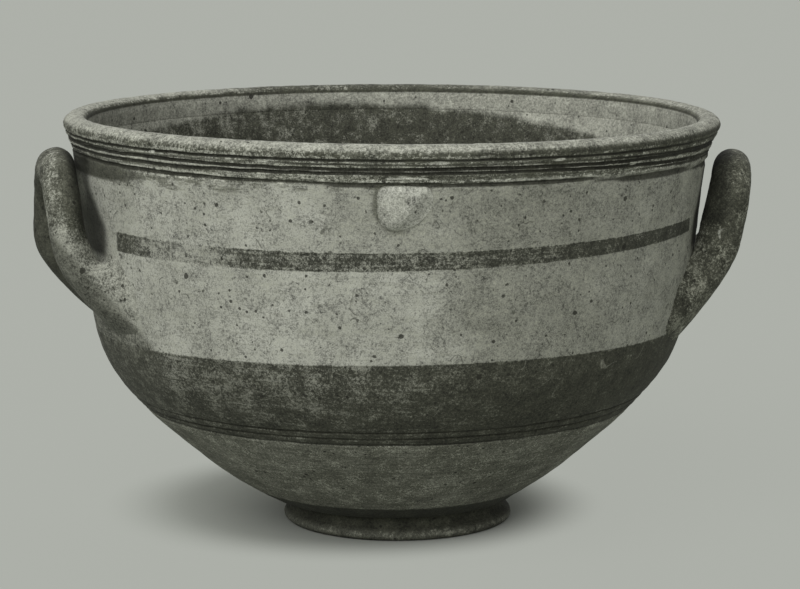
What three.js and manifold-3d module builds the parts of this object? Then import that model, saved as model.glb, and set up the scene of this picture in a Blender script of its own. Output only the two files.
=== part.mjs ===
// A deep two-handled clay bowl on a ring foot. Millimetres, +Z up, origin on
// the floor under the middle of the foot, handles by +X and -X, lug on -Y.
//
// The bowl is thrown in three lengths luted together with slip: a lower bowl,
// an upper wall and a grooved rim. Each joint is a tongue seated in a groove and
// lies under a tooled line. The foot is a turned ring, each handle is a rolled
// coil with a pad of clay pressed round both of its ends, and a pressed
// half-disc lug hangs under the rim in front.
import * as THREE from "three";
import { mergeVertices } from "three/addons/utils/BufferGeometryUtils.js";
import Module from "manifold-3d";

// Outer radii of the thrown form, from the foot up
const SEAT_RADIUS = 56;
const FLARE_RADIUS = 75;
const LOW_RADIUS = 91.6;
const TURN_RADIUS = 113.5;
const SWELL_RADIUS = 131.6;
const BELLY_RADIUS = 138.6;
const WAIST_RADIUS = 141.3;
const NECK_RADIUS = 145.8;
const LIP_RADIUS = 150;

// Rises from the floor to the first of them and from each to the next
const FOOT_HEIGHT = 12;
const FLARE_RISE = 12;
const LOW_RISE = 13.3;
const TURN_RISE = 19.9;
const SWELL_RISE = 24.8;
const BELLY_RISE = 32.5;
const WAIST_RISE = 29.5;
const NECK_RISE = 27;
const RIM_RISE = 15;
const LIP_RISE = 5;

// Clay thicknesses
const WALL = 8;
const FLOOR = 10;
const LIP_THICKNESS = 11;

// Foot ring: a bead on the floor, a hollow neck over it and a recess inside it
const FOOT_RADIUS = 53;
const FOOT_NECK_RADIUS = 50;
const FOOT_INNER_RADIUS = 40;
const FOOT_RECESS = 8;
const BEAD_HEIGHT = 5.6;
const BEAD_BULGE = 2.6;
const REST_WIDTH = 7;

// Tooled lines, measured along the wall
const LOW_GROOVES = 3;
const LOW_GROOVE_PITCH = 4.3;
const RIM_GROOVES = 3;
const RIM_GROOVE_PITCH = 4.8;
const LIP_OVERHANG = 1.2;
const GROOVE_WIDTH = 1.8;
const GROOVE_DEPTH = 0.9;

// Luted joints
const TONGUE = 3;
const SLIP = 0.3;

// Handles: one rolled coil each, looped up from two roots on the wall. Each sits
// some degrees in front of the widest line of the bowl.
const COIL_RADIUS = 9;
const ROOT_HEIGHT = 108;
const ROOT_HALF_SPACING = 28;
const ROOT_DEPTH = 8;
const ELBOW_RISE = 24;
const ELBOW_STAND_OFF = 13.5;
const SHOULDER_RISE = 46;
const SHOULDER_IN = 5;
const SHOULDER_STAND_OFF = 16;
const LOOP_RISE = 58;
const LOOP_GAP = 2.6;
const HANDLE_FORWARD = 8.5;

// Clay pads pressed round the coil ends
const PAD_REACH = 24;
const PAD_SPREAD = 17;
const PAD_UP = 24;
const PAD_DOWN = 23;
const PAD_EDGE = 2;
const PAD_FILLET = 0.35;

// Front lug, a half-disc hung under the lowest rim groove
const LUG_WIDTH = 24;
const LUG_HEIGHT = 20;
const LUG_RELIEF = 4;
const LUG_SINK = 3;
const LUG_ROUNDING = 2.4;
const LUG_GAP = 1.2;
const LUG_ANGLE = THREE.MathUtils.degToRad(-95);

// Fineness of the facets
const ROUND_STEPS = 60;
const WALL_STEPS = 5;
const BEAD_STEPS = 6;
const COIL_SIDES = 12;
const COIL_STEPS = 32;
const PAD_SIDES = 20;
const PAD_STEPS = 5;
const LUG_SPLITS = 2;
const LINE_STEPS = 400;

// Colours of the fired clay under its slip and wash
const CLAY = {
  foot: 0x45463d,
  dark: 0x4f4f45,
  coil: 0x5b5c52,
  rim: 0x74756b,
  pale: 0x96978b,
  lug: 0xa3a498,
};

// The outer face of the whole thrown form, one smooth line from foot to lip
const stations = [
  [SEAT_RADIUS, FOOT_HEIGHT],
  [FLARE_RADIUS, FLARE_RISE],
  [LOW_RADIUS, LOW_RISE],
  [TURN_RADIUS, TURN_RISE],
  [SWELL_RADIUS, SWELL_RISE],
  [BELLY_RADIUS, BELLY_RISE],
  [WAIST_RADIUS, WAIST_RISE],
  [NECK_RADIUS, NECK_RISE],
  [LIP_RADIUS, RIM_RISE],
];
let height = 0;
const outerLine = new THREE.SplineCurve(stations.map(([radius, rise]) => {
  height += rise;
  return new THREE.Vector2(radius, height);
}));
outerLine.arcLengthDivisions = LINE_STEPS;
const LINE_LENGTH = outerLine.getLength();
const TURN_Z = FOOT_HEIGHT + FLARE_RISE + LOW_RISE + TURN_RISE;
const LIP_Z = height;

// Length along the outer line at which it reaches a height, by halving
function lengthAtHeight(z) {
  let low = 0;
  let high = LINE_LENGTH;
  while (high - low > 1e-5) {
    const middle = (low + high) / 2;
    if (outerLine.getPointAt(middle / LINE_LENGTH).y < z) low = middle;
    else high = middle;
  }
  return low;
}

// A point of the wall: so far along the outer line, and so deep into the clay
function wallPoint(length, depth = 0) {
  const share = THREE.MathUtils.clamp(length / LINE_LENGTH, 0, 1);
  const along = outerLine.getTangentAt(share);
  return outerLine.getPointAt(share).add(new THREE.Vector2(-along.y, along.x).multiplyScalar(depth));
}

// Outer radius of the wall at a height
function wallRadius(z) {
  return wallPoint(lengthAtHeight(z)).x;
}

// Lengths from one to another in even steps, both ends among them
function lengths(from, to, steps) {
  return Array.from({ length: steps + 1 }, (_, i) => THREE.MathUtils.lerp(from, to, i / steps));
}

// Points of the wall at some lengths, all as deep
function wallPoints(places, depth = 0) {
  return places.map((length) => wallPoint(length, depth));
}

// The two edges of a tooled line, and the three points of its V
function grooveEdges(length) {
  return [length - GROOVE_WIDTH / 2, length + GROOVE_WIDTH / 2];
}
function groove(length) {
  const [below, above] = grooveEdges(length);
  return [wallPoint(below), wallPoint(length, GROOVE_DEPTH), wallPoint(above)];
}

// The edge of a luted joint under a tooled line, from the outer face to the
// inner one. The upper edge is the lower one raised by the bed of slip.
function jointEdge(length, raised = 0) {
  const from = wallPoint(length, GROOVE_DEPTH);
  const to = wallPoint(length, WALL);
  const along = outerLine.getTangentAt(length / LINE_LENGTH);
  const tongue = from.clone().lerp(to, 0.5).addScaledVector(along, -TONGUE);
  return [from, tongue, to].map((point) => point.clone().addScaledVector(along, raised));
}

// A round piece turned from a section that runs up its outer side
function turned(section) {
  const onAxis = section[0].x === 0;
  const points = onAxis ? section : [...section, section[0].clone()];
  return new THREE.LatheGeometry(points, ROUND_STEPS).rotateX(Math.PI / 2);
}

const wasm = await Module();
wasm.setup();

// A closed geometry as a solid that can be cut
function solid(geometry) {
  const bare = geometry.clone();
  bare.deleteAttribute("normal");
  bare.deleteAttribute("uv");
  const welded = mergeVertices(bare, 1e-4);
  return new wasm.Manifold(new wasm.Mesh({
    numProp: 3,
    vertProperties: new Float32Array(welded.attributes.position.array),
    triVerts: new Uint32Array(welded.index.array),
  }));
}

// A solid back as a geometry
function shape(body) {
  const mesh = body.getMesh();
  const geometry = new THREE.BufferGeometry();
  geometry.setAttribute("position", new THREE.BufferAttribute(mesh.vertProperties, 3));
  geometry.setIndex(new THREE.BufferAttribute(mesh.triVerts, 1));
  geometry.computeVertexNormals();
  return geometry;
}

const bowl = new THREE.Group();

function add(name, geometry, color, roughness) {
  const clay = new THREE.MeshStandardMaterial({ color, roughness, metalness: 0 });
  const mesh = new THREE.Mesh(geometry, clay);
  mesh.name = name;
  bowl.add(mesh);
}

// Lengths along the wall of the tooled lines, the first of each set at a joint,
// and of the plain stretches between them
const lowJoint = lengthAtHeight(TURN_Z);
const rimJoint = LINE_LENGTH - LIP_OVERHANG - (RIM_GROOVES - 1) * RIM_GROOVE_PITCH;
const lowLines = lengths(lowJoint, lowJoint + (LOW_GROOVES - 1) * LOW_GROOVE_PITCH, LOW_GROOVES - 1);
const rimLines = lengths(rimJoint, rimJoint + (RIM_GROOVES - 1) * RIM_GROOVE_PITCH, RIM_GROOVES - 1);
const lowStretch = lengths(0, grooveEdges(lowJoint)[0], WALL_STEPS);
const lowLinesEnd = grooveEdges(lowLines.at(-1))[1];
const plainStretch = lengths(lowLinesEnd, grooveEdges(rimJoint)[0], 2 * WALL_STEPS);

// Foot ring: its top follows the underside of the bowl, a bed of slip below it
const recessEdge = new THREE.Vector2(FOOT_INNER_RADIUS, FOOT_RECESS);
const seatEdge = new THREE.Vector2(SEAT_RADIUS, FOOT_HEIGHT);
const seatSlope = seatEdge.clone().sub(recessEdge).normalize();
const bedDrop = new THREE.Vector2(seatSlope.y, -seatSlope.x).multiplyScalar(SLIP);
const beadLine = new THREE.EllipseCurve(
  FOOT_RADIUS - BEAD_BULGE, BEAD_HEIGHT / 2, BEAD_BULGE, BEAD_HEIGHT / 2, -Math.PI / 2, Math.PI / 2,
);
const neckZ = (BEAD_HEIGHT + FOOT_HEIGHT) / 2;
add("foot_ring", turned([
  new THREE.Vector2(FOOT_RADIUS - BEAD_BULGE - REST_WIDTH, 0),
  ...beadLine.getPoints(BEAD_STEPS),
  new THREE.Vector2(FOOT_NECK_RADIUS, neckZ),
  seatEdge.clone().addScaledVector(seatSlope, -SLIP).add(bedDrop),
  recessEdge.clone().addScaledVector(seatSlope, SLIP).add(bedDrop),
]), CLAY.foot, 0.9);

// Lower bowl: a round floor, and the wall up to the lowest tooled line
const floorTop = FOOT_RECESS + FLOOR;
add("lower_bowl", turned([
  new THREE.Vector2(0, FOOT_RECESS),
  recessEdge,
  ...wallPoints(lowStretch),
  ...jointEdge(lowJoint),
  ...wallPoints([...lowStretch].reverse(), WALL),
  new THREE.Vector2(FOOT_INNER_RADIUS / 2, floorTop),
  new THREE.Vector2(0, floorTop),
]), CLAY.dark, 0.85);

// Upper wall: from the lowest tooled line to the lowest groove of the rim
const lowEdge = jointEdge(lowJoint, SLIP);
add("upper_wall", turned([
  lowEdge[0],
  wallPoint(grooveEdges(lowJoint)[1]),
  ...lowLines.slice(1).flatMap(groove),
  ...wallPoints(plainStretch.slice(1)),
  ...jointEdge(rimJoint),
  ...wallPoints([...plainStretch].reverse(), WALL),
  lowEdge[2],
  lowEdge[1],
]), CLAY.pale, 0.9);

// Rim: the grooved band, and over it a lip rounded across its thickness
const lipHalf = LIP_THICKNESS / 2;
const lipLine = new THREE.EllipseCurve(LIP_RADIUS - lipHalf, LIP_Z, lipHalf, LIP_RISE, 0, Math.PI);
const rimEdge = jointEdge(rimJoint, SLIP);
add("rim", turned([
  rimEdge[0],
  wallPoint(grooveEdges(rimJoint)[1]),
  ...rimLines.slice(1).flatMap(groove),
  ...lipLine.getPoints(2 * BEAD_STEPS),
  rimEdge[2],
  rimEdge[1],
]), CLAY.rim, 0.88);

// The room the thrown wall takes up, with a bed of slip round it, filled in
const wallRoom = solid(turned([
  new THREE.Vector2(0, FOOT_HEIGHT),
  ...wallPoints([...lowStretch, ...lowLines.flatMap(grooveEdges).slice(1)], -SLIP),
  ...wallPoints([...plainStretch.slice(1), ...rimLines.flatMap(grooveEdges).slice(1)], -SLIP),
  wallPoint(LINE_LENGTH, -SLIP),
  new THREE.Vector2(0, LIP_Z),
]));

// Centre line of a handle on +X: out of the wall at one root, over, and back
// into the wall at the other. Each point stands clear of the wall at its height.
function besideWall(y, z, clear) {
  return new THREE.Vector3(Math.sqrt(wallRadius(z) ** 2 - y ** 2) + clear, y, z);
}
const nearLeg = [
  besideWall(-ROOT_HALF_SPACING, ROOT_HEIGHT - ROOT_DEPTH, -ROOT_DEPTH),
  besideWall(-ROOT_HALF_SPACING, ROOT_HEIGHT, 0),
  besideWall(-ROOT_HALF_SPACING, ROOT_HEIGHT + ELBOW_RISE, ELBOW_STAND_OFF),
  besideWall(SHOULDER_IN - ROOT_HALF_SPACING, ROOT_HEIGHT + SHOULDER_RISE, SHOULDER_STAND_OFF),
];
const loopTop = besideWall(0, ROOT_HEIGHT + LOOP_RISE, COIL_RADIUS + LOOP_GAP);
const farLeg = nearLeg.map((point) => new THREE.Vector3(point.x, -point.y, point.z)).reverse();
const coilLine = new THREE.CatmullRomCurve3([...nearLeg, loopTop, ...farLeg], false, "centripetal");

// A rolled coil of a radius along that line
function coil(radius) {
  const section = new THREE.Shape();
  section.absarc(0, 0, radius, 0, 2 * Math.PI);
  return new THREE.ExtrudeGeometry(section, {
    steps: COIL_STEPS, curveSegments: COIL_SIDES / 2, extrudePath: coilLine, bevelEnabled: false,
  });
}

// The pad round a coil's near end: a skin that lies on the wall along an oval
// round the root, leaves it smoothly and ends as a collar on the coil. Each of
// its lines is a cubic with the wall's slope at the oval and the coil's at the
// collar. The oval is sunk under the face of the wall, which then cuts it.
const root = nearLeg[1];
const rootBearing = Math.atan2(root.y, root.x);
const collarShare = (ROOT_DEPTH * Math.SQRT2 + PAD_REACH) / coilLine.getLength();
const collar = coilLine.getPointAt(collarShare);
const collarAxis = coilLine.getTangentAt(collarShare);
const across = new THREE.Vector3(-Math.sin(rootBearing), Math.cos(rootBearing), 0);
across.addScaledVector(collarAxis, -across.dot(collarAxis)).normalize();
const upward = collarAxis.clone().cross(across);
function ovalPoint(turn, size) {
  const aside = Math.cos(turn) * PAD_SPREAD * size;
  const lift = Math.sin(turn) * (Math.sin(turn) > 0 ? PAD_UP : PAD_DOWN) * size;
  const z = ROOT_HEIGHT + lift;
  const radius = wallRadius(z) - SLIP;
  const bearing = rootBearing + aside / radius;
  return new THREE.Vector3(radius * Math.cos(bearing), radius * Math.sin(bearing), z);
}
function padPoint(turn, share) {
  const start = ovalPoint(turn, 1);
  const startPull = ovalPoint(turn, 1 - PAD_FILLET).sub(start);
  const end = collar.clone()
    .addScaledVector(across, Math.cos(turn) * (COIL_RADIUS + PAD_EDGE))
    .addScaledVector(upward, Math.sin(turn) * (COIL_RADIUS + PAD_EDGE));
  const endPull = collarAxis.clone().multiplyScalar(PAD_REACH * PAD_FILLET);
  const squared = share * share;
  const cubed = squared * share;
  return start.multiplyScalar(2 * cubed - 3 * squared + 1)
    .addScaledVector(startPull, cubed - 2 * squared + share)
    .addScaledVector(end, 3 * squared - 2 * cubed)
    .addScaledVector(endPull, cubed - squared);
}
function padGeometry() {
  const corners = [];
  const faces = [];
  for (let row = 0; row <= PAD_STEPS; row += 1) {
    for (let side = 0; side < PAD_SIDES; side += 1) {
      corners.push(padPoint((2 * Math.PI * side) / PAD_SIDES, row / PAD_STEPS));
    }
  }
  const buried = corners.push(root.clone().setLength(root.length() - WALL)) - 1;
  const capped = corners.push(collar) - 1;
  const lastRow = PAD_STEPS * PAD_SIDES;
  for (let side = 0; side < PAD_SIDES; side += 1) {
    const next = (side + 1) % PAD_SIDES;
    for (let row = 0; row < lastRow; row += PAD_SIDES) {
      faces.push(row + side, row + next, row + PAD_SIDES + next);
      faces.push(row + side, row + PAD_SIDES + next, row + PAD_SIDES + side);
    }
    faces.push(buried, next, side);
    faces.push(capped, lastRow + side, lastRow + next);
  }
  const geometry = new THREE.BufferGeometry().setFromPoints(corners);
  geometry.setIndex(faces);
  return geometry;
}

const coilSolid = solid(coil(COIL_RADIUS)).subtract(wallRoom);
const padSolid = solid(padGeometry()).subtract(wallRoom).subtract(solid(coil(COIL_RADIUS + SLIP)));
const SIDES = [
  ["right", -HANDLE_FORWARD, "front", "back"],
  ["left", 180 + HANDLE_FORWARD, "back", "front"],
];
for (const [side, turn, nearEnd, farEnd] of SIDES) {
  add(`${side}_handle`, shape(coilSolid.rotate([0, 0, turn])), CLAY.coil, 0.8);
  add(`${side}_${nearEnd}_root`, shape(padSolid.rotate([0, 0, turn])), CLAY.rim, 0.85);
  add(`${side}_${farEnd}_root`, shape(padSolid.mirror([0, 1, 0]).rotate([0, 0, turn])), CLAY.rim, 0.85);
}

// Front lug: a half-disc with rounded edges. Its outline is drawn flat inside the
// rounding, its straight edge up, pushed out from under the wall's face and then
// bent to follow the wall, which cuts it off.
const lugHalf = LUG_WIDTH / 2 - LUG_ROUNDING;
const lugOutline = new THREE.Shape();
lugOutline.moveTo(-lugHalf, -LUG_ROUNDING);
lugOutline.lineTo(-lugHalf, -LUG_HEIGHT / 2);
lugOutline.absellipse(0, -LUG_HEIGHT / 2, lugHalf, LUG_HEIGHT / 2 - LUG_ROUNDING, Math.PI, 2 * Math.PI);
lugOutline.lineTo(lugHalf, -LUG_ROUNDING);
lugOutline.closePath();
const lugGeometry = new THREE.ExtrudeGeometry(lugOutline, {
  depth: LUG_SINK + LUG_RELIEF - LUG_ROUNDING,
  bevelSize: LUG_ROUNDING,
  bevelThickness: LUG_ROUNDING,
  bevelSegments: BEAD_STEPS / 2,
  curveSegments: COIL_SIDES,
});
const lugTop = grooveEdges(rimJoint)[0] - LUG_GAP;
function followWall(place) {
  const length = lugTop + place[1];
  const bearing = LUG_ANGLE + place[0] / wallPoint(length).x;
  const point = wallPoint(length, LUG_SINK - place[2]);
  place[0] = point.x * Math.cos(bearing);
  place[1] = point.x * Math.sin(bearing);
  place[2] = point.y;
}
const lugSolid = solid(lugGeometry).refine(LUG_SPLITS).warp(followWall);
add("front_lug", shape(lugSolid.subtract(wallRoom)), CLAY.lug, 0.9);

bowl.updateMatrixWorld(true);
export default bowl;
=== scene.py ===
import math
import bpy
import numpy as np
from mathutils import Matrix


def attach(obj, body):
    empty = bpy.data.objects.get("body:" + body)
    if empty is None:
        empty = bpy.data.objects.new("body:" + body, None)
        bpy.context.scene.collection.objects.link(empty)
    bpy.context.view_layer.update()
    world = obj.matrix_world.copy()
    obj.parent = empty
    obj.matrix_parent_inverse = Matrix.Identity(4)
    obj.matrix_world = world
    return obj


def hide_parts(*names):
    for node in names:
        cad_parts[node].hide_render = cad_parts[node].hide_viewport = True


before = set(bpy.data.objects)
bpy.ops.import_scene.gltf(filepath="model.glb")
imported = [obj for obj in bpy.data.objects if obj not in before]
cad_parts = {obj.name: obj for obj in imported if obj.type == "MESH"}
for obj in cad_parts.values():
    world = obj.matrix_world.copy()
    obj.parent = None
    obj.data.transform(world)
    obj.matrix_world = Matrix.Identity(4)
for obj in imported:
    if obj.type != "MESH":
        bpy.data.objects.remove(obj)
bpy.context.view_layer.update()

# Foot ring
# A ring of clay turned on the wheel and luted under the bowl: a flat resting edge, a rounded bead above it and
# a hollow neck. The dark wash is rubbed off on the bead, which is also painted lighter as a painted highlight.
MM = 0.001
FOOT_SECTION = np.array([
    (43.2, 0.9), (43.6, 0.2), (44.6, 0.0), (47.0, 0.0), (49.6, 0.0), (51.4, 0.4), (52.5, 1.3), (53.0, 2.7),
    (52.7, 4.1), (51.8, 5.2), (50.8, 6.0), (50.1, 7.2), (49.9, 8.6), (50.3, 10.2), (51.3, 11.6), (52.6, 12.8),
    (50.5, 13.4), (46.5, 12.2), (42.0, 10.4), (40.4, 9.2), (40.6, 7.4), (41.8, 4.0), (42.8, 2.0),
])
FOOT_ROWS = 96
FOOT_COLUMNS = 360

# By hand: the bowl isn't quite true. Its lower body sits to the left of the rim, its
# foot to the right, and the plane of the rim dips. Heights, shifts and slopes in mm.
LEAN_HEIGHTS = [0, 6, 12, 16, 24, 37, 62, 70, 80, 100, 140, 165, 182, 190]
LEAN_SHIFTS = [2.6, 2.4, 0.3, -0.9, -1.5, -1.9, -1.9, -2.0, -1.5, -1.1, -0.7, -0.8, -0.05, 0.2]
WAVER = 0.25
WAVER_SIZE = 60.0
OVAL = 1.003
CREST_DROP = 0.8
CREST_SLOPE = 0.0034
CREST_HEIGHTS = (170, 191)
RIM_REACH = 145.0


def smooth_noise(points, size, seed):
    """Noise from -1 to 1 at points in mm. A whole-number hash of its place gives each
    corner of a lattice of cubes a value; the eight round a point are weighed by
    3t^2 - 2t^3 of its place in the cube."""
    place = np.asarray(points, float) / size
    corner = np.floor(place).astype(np.int64)
    t = place - corner
    t = t * t * (3 - 2 * t)
    total = np.zeros(place.shape[:-1])
    for k in range(8):
        bit = np.array([k & 1, k >> 1 & 1, k >> 2 & 1])
        x, y, z = np.moveaxis(corner + bit, -1, 0)
        mixed = (x * 73856093 ^ y * 19349663 ^ z * 83492791 ^ seed * 50331653) & 0x7FFFFFFF
        mixed = (mixed ^ mixed >> 13) * 1274126177 & 0x7FFFFFFF
        total += np.prod(np.where(bit, t, 1 - t), axis=-1) * ((mixed ^ mixed >> 15) & 0xFFFF)
    return total / 32767.5 - 1


def by_hand(points):
    """True points in mm moved to where the hand left them: outward by slow noise,
    a little wider towards the handles, sideways by the lean at their height, and
    near the rim down a tilted plane."""
    x, y, z = np.moveaxis(points, -1, 0)
    radius = np.maximum(np.hypot(x, y), 1.0)
    waver = WAVER * (smooth_noise(points, WAVER_SIZE, 3) - 0.4) * np.minimum(radius / WAVER_SIZE, 1)
    crest = np.clip((z - CREST_HEIGHTS[0]) / (CREST_HEIGHTS[1] - CREST_HEIGHTS[0]), 0, 1)
    drop = CREST_DROP + CREST_SLOPE * x * (1 - y / RIM_REACH)
    return np.stack([x * (OVAL + waver / radius) + np.interp(z, LEAN_HEIGHTS, LEAN_SHIFTS),
                     y * (1 + waver / radius), np.maximum(z - crest * drop, 0)], -1)


def smooth_line(stations, share):
    """Line through stations at shares from 0 to 1. In each span it is the cubic through
    both ends whose slope at an end is half the chord between that end's neighbours."""
    last = len(stations) - 1
    place = np.clip(share, 0, 1) * last
    i = np.minimum(place.astype(int), last - 1)
    t = (place - i)[..., None]
    before, start, end, after = (stations[np.clip(i + k, 0, last)] for k in (-1, 0, 1, 2))
    leave, arrive = (end - before) / 2, (after - start) / 2
    return ((2 * start - 2 * end + leave + arrive) * t ** 3
            + (3 * end - 3 * start - 2 * leave - arrive) * t ** 2 + leave * t + start)


def around(radius, height, angle):
    """Points (radius cos angle, radius sin angle, height), one row for each radius."""
    radius, height, angle = np.broadcast_arrays(radius, height, angle)
    return np.stack([radius * np.cos(angle), radius * np.sin(angle), height], -1)


def turned(section, angle):
    """A section of radii and heights turned round the bowl's axis."""
    return around(section[:, :1], section[:, 1:], angle)


def full_turn(columns):
    """Angles of the columns of a round piece, in one row."""
    return np.linspace(0, 2 * math.pi, columns, endpoint=False)[None, :]


def placed(name, data):
    """Adds an object that holds the data to the scene."""
    made = bpy.data.objects.new(name, data)
    bpy.context.scene.collection.objects.link(made)
    return made


def skin(name, grid, poles=(), **fields):
    """Closed mesh over a grid of points in mm, rows by columns. Each row is a loop and
    each row joins the next; two poles close the ends as fans, and without poles the
    last row joins the first. Fields are point attributes with the grid's shape."""
    rows, columns = grid.shape[:2]
    points = by_hand(np.concatenate([grid.reshape(-1, 3), np.reshape(poles, (-1, 3))])) * MM
    row = np.arange(rows - 1 if poles else rows)[:, None] * columns
    column = np.arange(columns)[None, :]
    after = (column + 1) % columns
    above = (row + columns) % (rows * columns)
    faces = np.stack(np.broadcast_arrays(row + column, row + after, above + after, above + column), -1)
    faces = faces.reshape(-1, 4).tolist()
    if poles:
        pole, last = rows * columns, (rows - 1) * columns
        pairs = list(zip(column[0].tolist(), after[0].tolist()))
        faces += [[pole, b, a] for a, b in pairs] + [[pole + 1, last + a, last + b] for a, b in pairs]
    mesh = bpy.data.meshes.new(name)
    mesh.from_pydata(points.tolist(), [], faces)
    mesh.shade_smooth()
    for field, values in fields.items():
        spread = np.broadcast_to(values, (rows, columns)).astype(np.float32)
        ends = [spread[0].mean(), spread[-1].mean()] if poles else []
        attribute = mesh.attributes.new(field, "FLOAT", "POINT")
        attribute.data.foreach_set("value", np.append(spread.ravel(), np.float32(ends)))
    mesh.set_sharp_from_angle(angle=math.radians(60))
    return placed(name, mesh)


def linear(code):
    """sRGB hex to linear RGBA: ((c + 0.055) / 1.055)^2.4, or c / 12.92 in the darkest."""
    parts = [int(code[i:i + 2], 16) / 255 for i in (1, 3, 5)]
    return [c / 12.92 if c <= 0.04045 else ((c + 0.055) / 1.055) ** 2.4 for c in parts] + [1.0]


def node(tree, kind, *inputs, **settings):
    """Adds a node with its settings, then fills its open inputs in their order: a node
    or socket is linked, a value is set and None leaves the input as it is."""
    made = tree.nodes.new(kind)
    for key, value in settings.items():
        setattr(made, key, value)
    for socket, value in zip([s for s in made.inputs if s.enabled], inputs):
        if isinstance(value, bpy.types.Node):
            value = next(s for s in value.outputs if s.enabled)
        if isinstance(value, bpy.types.NodeSocket):
            tree.links.new(value, socket)
        elif value is not None:
            socket.default_value = value
    return made


class Clay:
    """A fired clay surface as a node tree. Its patterns are read from Object
    coordinates in mm, so each size below is a real one."""

    # In mm; pits: how far apart, how wide and in what share of the cells
    GRAIN_SIZE = 0.55
    FLAKE_SIZE = 1.3
    WEAR_SIZE = 9.0
    FINE_PITS = (3.4, 1.6, 0.5)
    COARSE_PITS = (11.0, 2.8, 0.5)
    PIT_SOFT = 0.15
    RELIEF = 0.25
    DARKEST = 0.2
    ROUGHNESS = 0.9
    SHEEN = 0.3

    def __init__(self, name, body, cloud, cloud_size=26.0):
        """body and cloud are the two tones that slow clouds of that size turn between."""
        self.material = bpy.data.materials.new(name)
        self.material.use_nodes = True
        self.tree = self.material.node_tree
        self.tree.nodes.clear()
        place = self.add("ShaderNodeTexCoord").outputs["Object"]
        self.place = self.add("ShaderNodeVectorMath", place, (1 / MM,) * 3, operation="MULTIPLY")
        self.x, self.y, self.z = self.add("ShaderNodeSeparateXYZ", self.place).outputs
        self.grain = self.noise(self.GRAIN_SIZE, 2.0, 0.7)
        self.flake = self.noise(self.FLAKE_SIZE, 3.0, 0.65)
        self.wear = self.noise(self.WEAR_SIZE, 6.0, 0.7)
        clouds = self.ramp(self.noise(cloud_size, 4.0, 0.6), 0.40, 0.60)
        self.colour = self.blend(clouds, linear(body), linear(cloud))

    def add(self, kind, *inputs, **settings):
        """Adds a node to this clay's tree."""
        return node(self.tree, kind, *inputs, **settings)

    def math(self, operation, *inputs):
        """The operation on its inputs."""
        return self.add("ShaderNodeMath", *inputs, operation=operation)

    def noise(self, size, detail=3.0, roughness=0.55, stretch=(1, 1, 1)):
        """Noise with blobs of a size in mm, drawn out along an axis by its stretch."""
        scale = tuple(1 / (size * s) for s in stretch)
        place = self.add("ShaderNodeVectorMath", self.place, scale, operation="MULTIPLY")
        return self.add("ShaderNodeTexNoise", place, 1.0, detail, roughness)

    def ramp(self, value, low, high, start=0.0, end=1.0):
        """Smooth step: start up to low, end from high on, 3t^2 - 2t^3 between."""
        return self.add("ShaderNodeMapRange", value, low, high, start, end, interpolation_type="SMOOTHSTEP")

    def blend(self, share, first, second):
        """first x (1 - share) + second x share."""
        return self.add("ShaderNodeMix", share, first, second, data_type="RGBA")

    def field(self, name):
        """The point attribute of that name."""
        return self.add("ShaderNodeAttribute", attribute_name=name).outputs["Fac"]

    def product(self, value, *others):
        """All the values multiplied."""
        for other in others:
            value = self.math("MULTIPLY", value, other)
        return value

    def paint(self, colour, *shares):
        """A layer over what is there, by the product of its shares from 0 to 1."""
        self.colour = self.blend(self.product(*shares), self.colour, linear(colour))

    def curve(self, a, b, c):
        """Height a + b x + c x^2 of a line painted round the bowl."""
        return self.math("MULTIPLY_ADD", self.math("MULTIPLY_ADD", self.x, c, b), self.x, a)

    def total(self, *terms):
        """Sum of weight x value over the terms, each a pair of the two."""
        result = 0.0
        for weight, value in terms:
            result = self.math("MULTIPLY_ADD", value, weight, result)
        return result

    def breaks(self, wear, flake, grain, *more):
        """How broken a thin coat is: weights x the wear, flake and grain noises, plus
        any further pairs of weight and value."""
        return self.total((wear, self.wear), (flake, self.flake), (grain, self.grain), *more)

    def wavering(self, value, amount, *noise):
        """A value moved up and down by amount x (noise - 0.5)."""
        return self.total((1.0, value), (amount, self.noise(*noise)), (-amount / 2, 1.0))

    def pits(self, spacing, width, share):
        """Ragged holes up to a width in mm: 1 within chance x half that width of the
        point of a cell, in the given share of the cells."""
        cells = self.add("ShaderNodeVectorMath", self.place, (1 / spacing,) * 3, operation="MULTIPLY")
        holes = self.add("ShaderNodeTexVoronoi", cells, 1.0)
        chance = self.add("ShaderNodeSeparateColor", holes.outputs["Color"])
        quarter = 0.25 * width / spacing
        ragged = self.total((1.0, holes.outputs["Distance"]), (2 * quarter, self.flake),
                            (-2 * quarter, chance))
        soft = self.PIT_SOFT / spacing
        inside = self.ramp(ragged, quarter - soft, quarter + soft, 1.0, 0.0)
        return self.product(inside, self.ramp(chance.outputs[1], 1 - share, 1.01 - share))

    def scratches(self, size, width, share, stretch=(1, 1, 1)):
        """Thin curved lines a width in mm: where noise of that size crosses 0.5, broken
        to pieces where a second, smaller noise is low."""
        line = self.math("ABSOLUTE", self.math("SUBTRACT", self.noise(size, 1.0, 0.5, stretch), 0.5))
        edge = 0.15 * width / size
        kept = self.ramp(self.noise(size * 0.7, 1.0, 0.5), 0.62 - share, 0.66 - share)
        return self.product(self.ramp(line, 0.4 * edge, 1.6 * edge, 1.0, 0.0), kept)

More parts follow.
